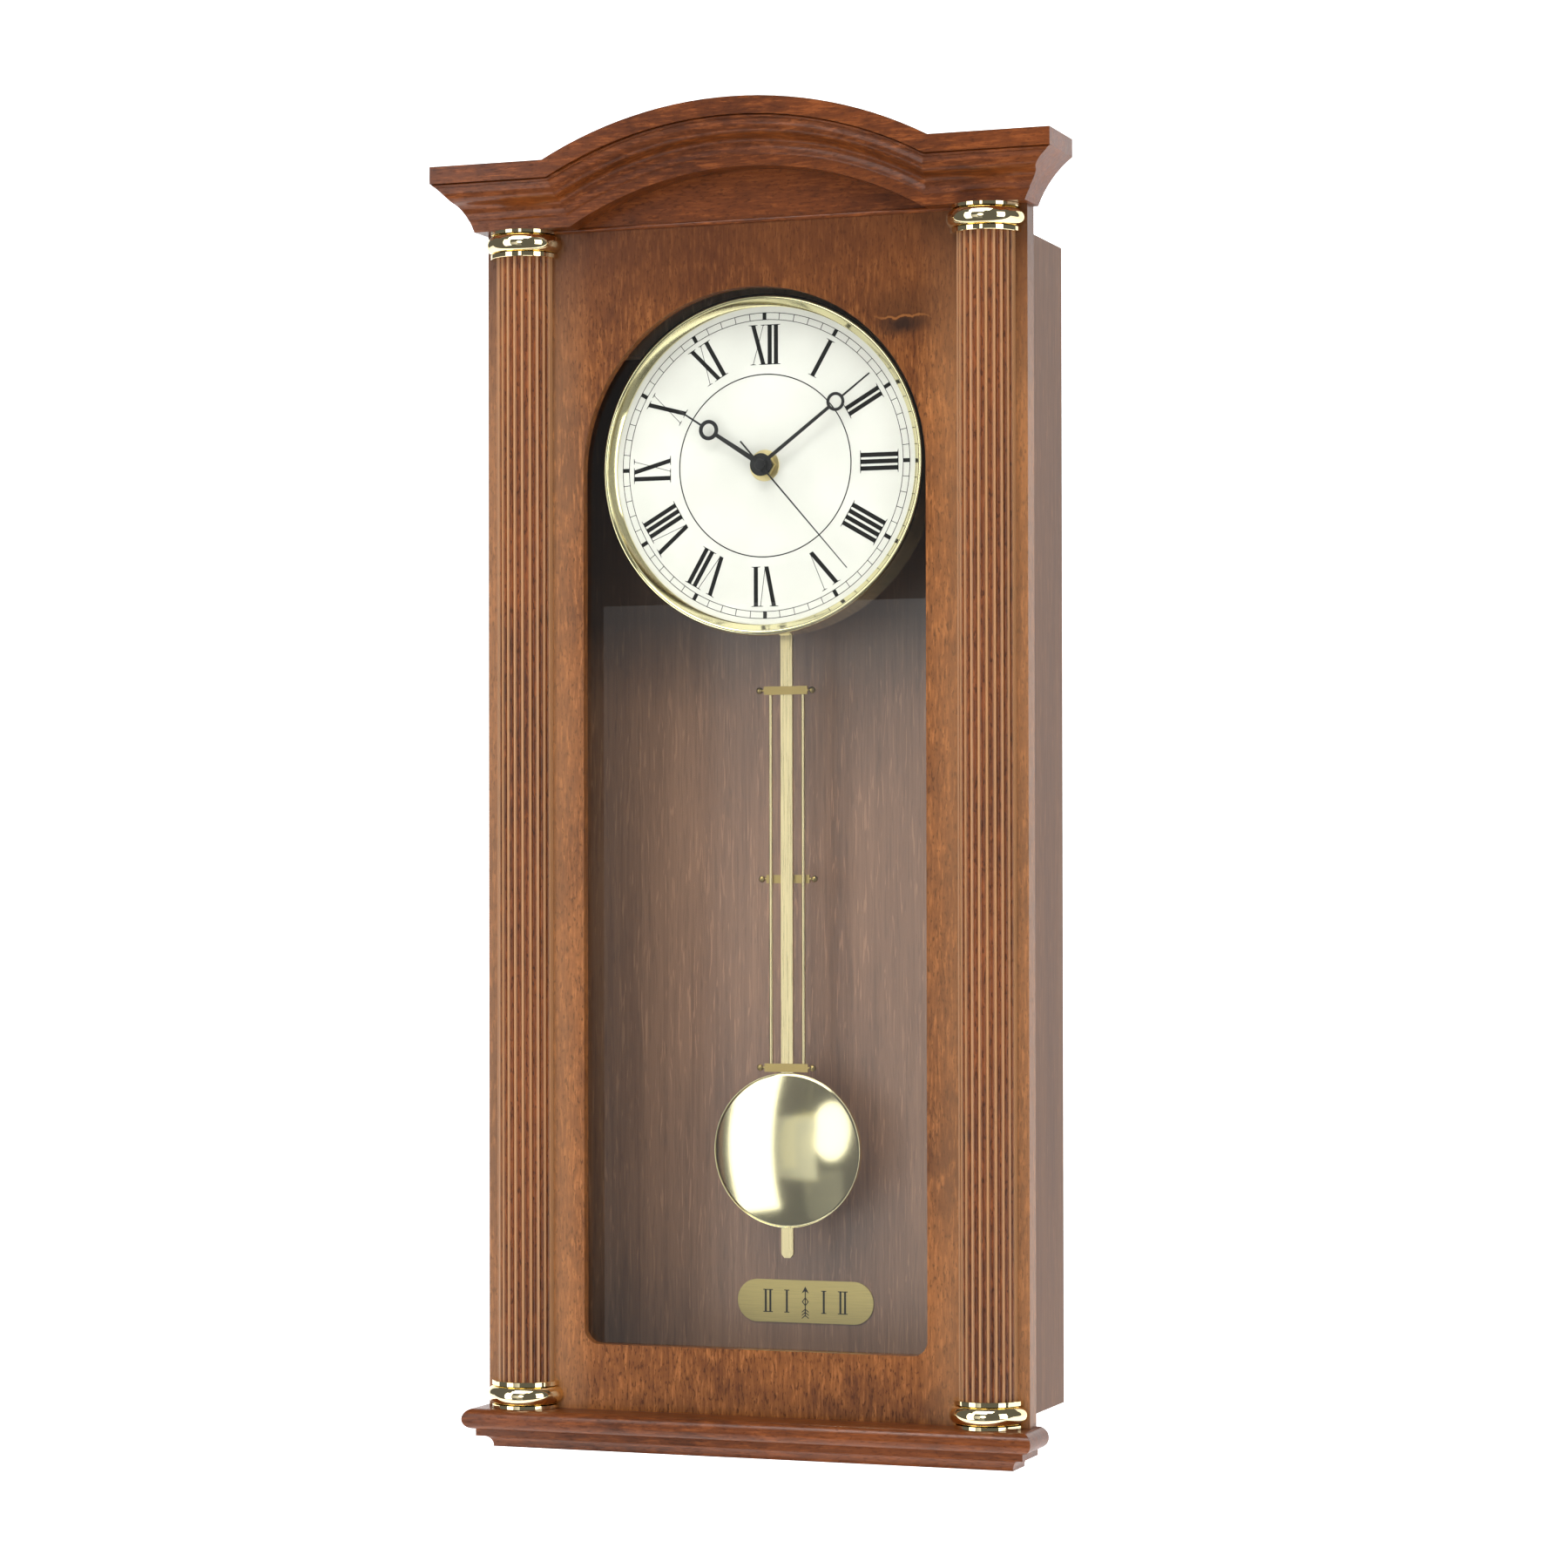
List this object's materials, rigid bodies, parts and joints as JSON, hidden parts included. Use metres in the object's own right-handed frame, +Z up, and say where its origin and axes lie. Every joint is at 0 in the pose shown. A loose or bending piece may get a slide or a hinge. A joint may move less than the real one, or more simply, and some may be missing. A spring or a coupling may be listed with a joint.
{
  "type": "wall clock",
  "caption": "Pendulum wall clock with an arched, glazed wooden door between fluted half columns, round dial, three hands and a round brass bob.",
  "frame": {"origin": "centre of the round entry of the hanging keyhole, on the plane of the wall", "axes": "+Y into the wall, +Z up, +X to the right seen from the front"},
  "size_m": [0.31, 0.1031, 0.6387],
  "materials": {
    "door_veneer": "satin lacquer over stained veneer",
    "moulding_wood": "satin lacquered stained wood",
    "column_wood": "satin lacquered fluted wood",
    "case_foil": "printed wood foil",
    "back_foil": "dark walnut foil",
    "raw_wood": "plain sanded wood",
    "gold_plate": "polished gold plate",
    "dial_brass": "polished brass",
    "bob_brass": "polished pale brass",
    "pendulum_brass": "satin pale brass",
    "plate_brass": "brushed lacquered brass",
    "clear_glass": "clear sheet glass",
    "dial_white": "matt warm white paint",
    "hand_black": "satin black paint",
    "black_steel": "black painted sheet steel",
    "black_plastic": "black moulded plastic",
    "gear_plastic": "natural acetal",
    "arbor_brass": "turned brass",
    "dark_magnet": "sintered magnet",
    "copper_wire": "enamelled copper winding",
    "cell_jacket": "plain printed cell jacket",
    "plated_spring": "nickel plated spring steel",
    "bright_steel": "zinc plated steel",
    "hinge_brass": "brass plated steel",
    "bead_plastic": "brown moulded plastic"
  },
  "bodies": {
    "case": {"left_side_panel": "case_foil", "right_side_panel": "case_foil", "case_top_board": "case_foil", "case_bottom_board": "case_foil", "back_panel": "back_foil", "hanging_batten": "raw_wood", "dial_drum": "dial_brass", "dial_web": "dial_brass", "dial_bezel": "dial_brass", "centre_washer_and_nut": "dial_brass", "beat_plate": "plate_brass", "dial_face": "dial_white", "movement_bracket": "black_steel", "movement_front_housing": "black_plastic", "movement_rear_cover": "black_plastic", "magnet_catch": "black_plastic", "motor_coil": "copper_wire", "pendulum_coil": "copper_wire", "battery": "cell_jacket", "battery_contacts": "plated_spring", "hanger_plate": "bright_steel", "panel_screws": "bright_steel", "panel_pins": "bright_steel", "hinge_case_leaves": "hinge_brass", "hinge_pins": "hinge_brass", "hinge_case_screws": "hinge_brass"},
    "door": {"door_panel": "door_veneer", "arch_infill": "moulding_wood", "cornice": "moulding_wood", "base_moulding": "moulding_wood", "left_column": "column_wood", "right_column": "column_wood", "left_capital_ring": "gold_plate", "right_capital_ring": "gold_plate", "left_foot_ring": "gold_plate", "right_foot_ring": "gold_plate", "door_glass": "clear_glass", "glass_bead": "bead_plastic", "strike_plate": "bright_steel", "hinge_door_leaves": "hinge_brass", "hinge_door_screws": "hinge_brass"},
    "pendulum": {"pendulum_leader": "black_plastic", "leader_magnet": "dark_magnet", "pendulum_rod": "pendulum_brass", "pendulum_wires": "pendulum_brass", "pendulum_bars": "pendulum_brass", "bob_front_shell": "bob_brass", "bob_back_shell": "bob_brass"},
    "seconds": {"second_hand": "hand_black", "seconds_wheel": "arbor_brass"},
    "minutes": {"minute_hand": "hand_black", "minute_arbor": "arbor_brass"},
    "hours": {"hour_hand": "hand_black", "hour_wheel": "gear_plastic"},
    "motion_wheel": {"motion_wheel": "gear_plastic"},
    "setting_knob": {"setting_knob": "black_plastic"},
    "centre_wheel": {"centre_wheel": "gear_plastic"},
    "third_wheel": {"third_wheel": "gear_plastic"},
    "intermediate_wheel": {"intermediate_wheel": "gear_plastic"},
    "rotor": {"rotor": "dark_magnet"}
  },
  "joints": [
    {"name": "door_hinge", "type": "hinge", "parent": "case", "child": "door", "pos_m": [-0.13315, -0.0631, -0.2495], "axis": [0, 0, -1], "range_deg": [0, 105]},
    {"name": "pendulum_swing", "type": "hinge", "parent": "case", "child": "pendulum", "pos_m": [0, -0.036, -0.1021], "axis": [0, 1, 0], "range_deg": [-6, 6]},
    {"name": "second_hand_spin", "type": "hinge", "parent": "case", "child": "seconds", "pos_m": [0, -0.06, -0.0781], "axis": [0, 1, 0], "continuous": true},
    {"name": "minute_hand_spin", "type": "hinge", "parent": "case", "child": "minutes", "pos_m": [0, -0.06, -0.0781], "axis": [0, 1, 0], "continuous": true},
    {"name": "hour_hand_spin", "type": "hinge", "parent": "case", "child": "hours", "pos_m": [0, -0.06, -0.0781], "axis": [0, 1, 0], "continuous": true},
    {"name": "motion_wheel_spin", "type": "hinge", "parent": "case", "child": "motion_wheel", "pos_m": [-0.01, -0.053, -0.0781], "axis": [0, 1, 0], "continuous": true},
    {"name": "setting_knob_turn", "type": "hinge", "parent": "case", "child": "setting_knob", "pos_m": [-0.02, -0.045, -0.0781], "axis": [0, 1, 0], "continuous": true},
    {"name": "centre_wheel_spin", "type": "hinge", "parent": "case", "child": "centre_wheel", "pos_m": [0, -0.05, -0.0781], "axis": [0, 1, 0], "continuous": true},
    {"name": "third_wheel_spin", "type": "hinge", "parent": "case", "child": "third_wheel", "pos_m": [0.0102, -0.05, -0.0781], "axis": [0, 1, 0], "continuous": true},
    {"name": "intermediate_wheel_spin", "type": "hinge", "parent": "case", "child": "intermediate_wheel", "pos_m": [0, -0.046, -0.0877], "axis": [0, 1, 0], "continuous": true},
    {"name": "rotor_spin", "type": "hinge", "parent": "case", "child": "rotor", "pos_m": [0, -0.044, -0.09666], "axis": [0, 1, 0], "continuous": true}
  ],
  "couplings": [
    {"joint": "hour_hand_spin", "follows": "minute_hand_spin", "ratio": 0.083333},
    {"joint": "motion_wheel_spin", "follows": "minute_hand_spin", "ratio": -0.33333},
    {"joint": "setting_knob_turn", "follows": "minute_hand_spin", "ratio": 1},
    {"joint": "centre_wheel_spin", "follows": "second_hand_spin", "ratio": 0.016667},
    {"joint": "third_wheel_spin", "follows": "second_hand_spin", "ratio": -0.13333},
    {"joint": "intermediate_wheel_spin", "follows": "second_hand_spin", "ratio": -5},
    {"joint": "rotor_spin", "follows": "second_hand_spin", "ratio": 30}
  ]
}
